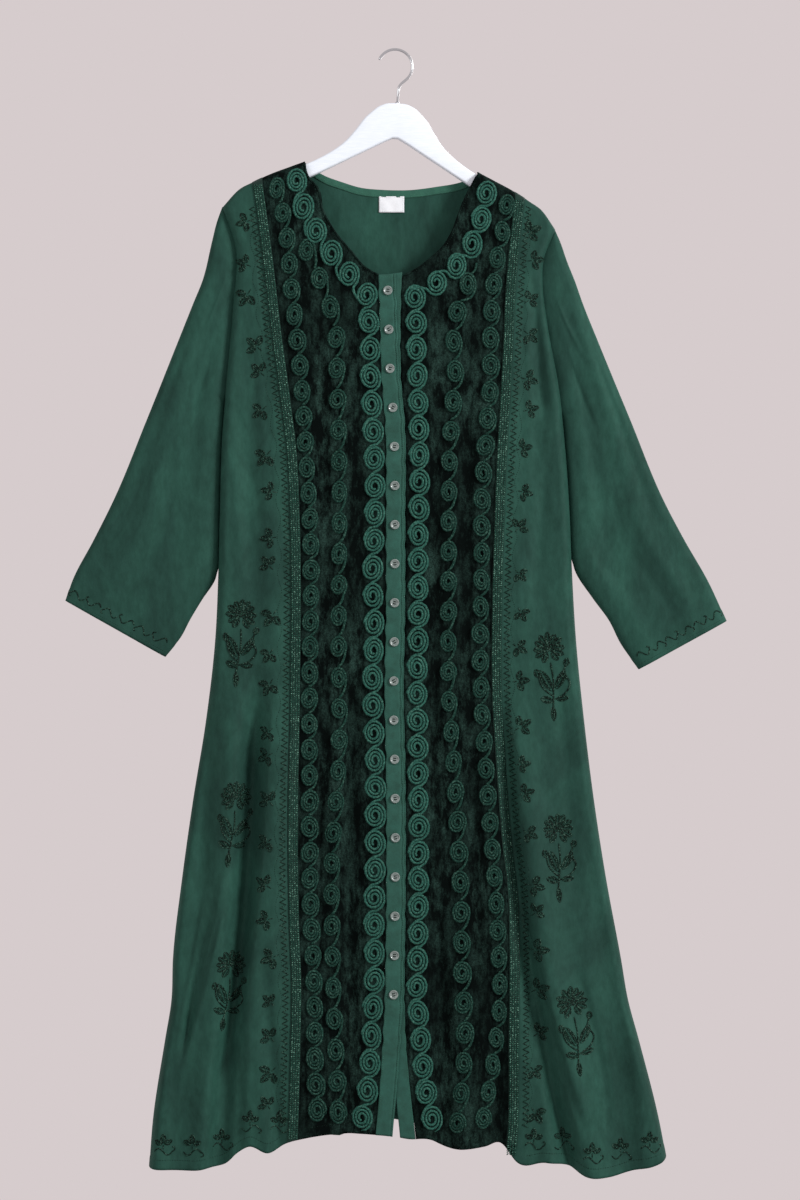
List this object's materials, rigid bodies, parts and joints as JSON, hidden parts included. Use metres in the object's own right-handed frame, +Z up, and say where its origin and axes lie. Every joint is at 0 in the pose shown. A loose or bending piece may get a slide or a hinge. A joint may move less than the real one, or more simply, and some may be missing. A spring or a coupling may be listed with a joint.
{
  "type": "kaftan on a hanger",
  "caption": "Long buttoned kaftan with dark velvet front panels, couched cord spirals, braided seams, plain rayon sides and long sleeves, hung flat on a white wooden hanger.",
  "frame": {"origin": "inside of the hook's top, where a nail or rod carries the hanger", "axes": "+Z up along the hanging garment, -Y out of the garment's front, +X to the right of someone facing the front"},
  "size_m": [0.8632, 0.0685, 1.4684],
  "materials": {
    "rayon": "matte crinkled rayon, dyed in the piece",
    "velvet": "crushed velvet pile",
    "cotton": "plain woven cotton",
    "braid": "woven braid with a little metallic thread",
    "cord": "twisted cotton cord, couched",
    "button": "pearly",
    "label": "woven satin, blank",
    "wood": "white paint, satin",
    "chrome": "polished"
  },
  "bodies": {
    "root": {"front_velvet_left": "velvet", "front_velvet_right": "velvet", "side_front_left": "rayon", "side_front_right": "rayon", "back": "rayon", "sleeve_left": "rayon", "sleeve_right": "rayon", "braid_left": "braid", "braid_right": "braid", "cord_left_a": "cord", "cord_left_b": "cord", "cord_left_c": "cord", "cord_right_a": "cord", "cord_right_b": "cord", "cord_right_c": "cord", "placket_over": "cotton", "placket_under": "cotton", "back_neck_binding": "cotton", "neck_label": "label", "button_01": "button", "button_02": "button", "button_03": "button", "button_04": "button", "button_05": "button", "button_06": "button", "button_07": "button", "button_08": "button", "button_09": "button", "button_10": "button", "button_11": "button", "button_12": "button", "button_13": "button", "button_14": "button", "button_15": "button", "button_16": "button", "button_17": "button", "button_18": "button", "button_19": "button", "hanger_wood": "wood", "hanger_hook": "chrome"}
  },
  "joints": []
}
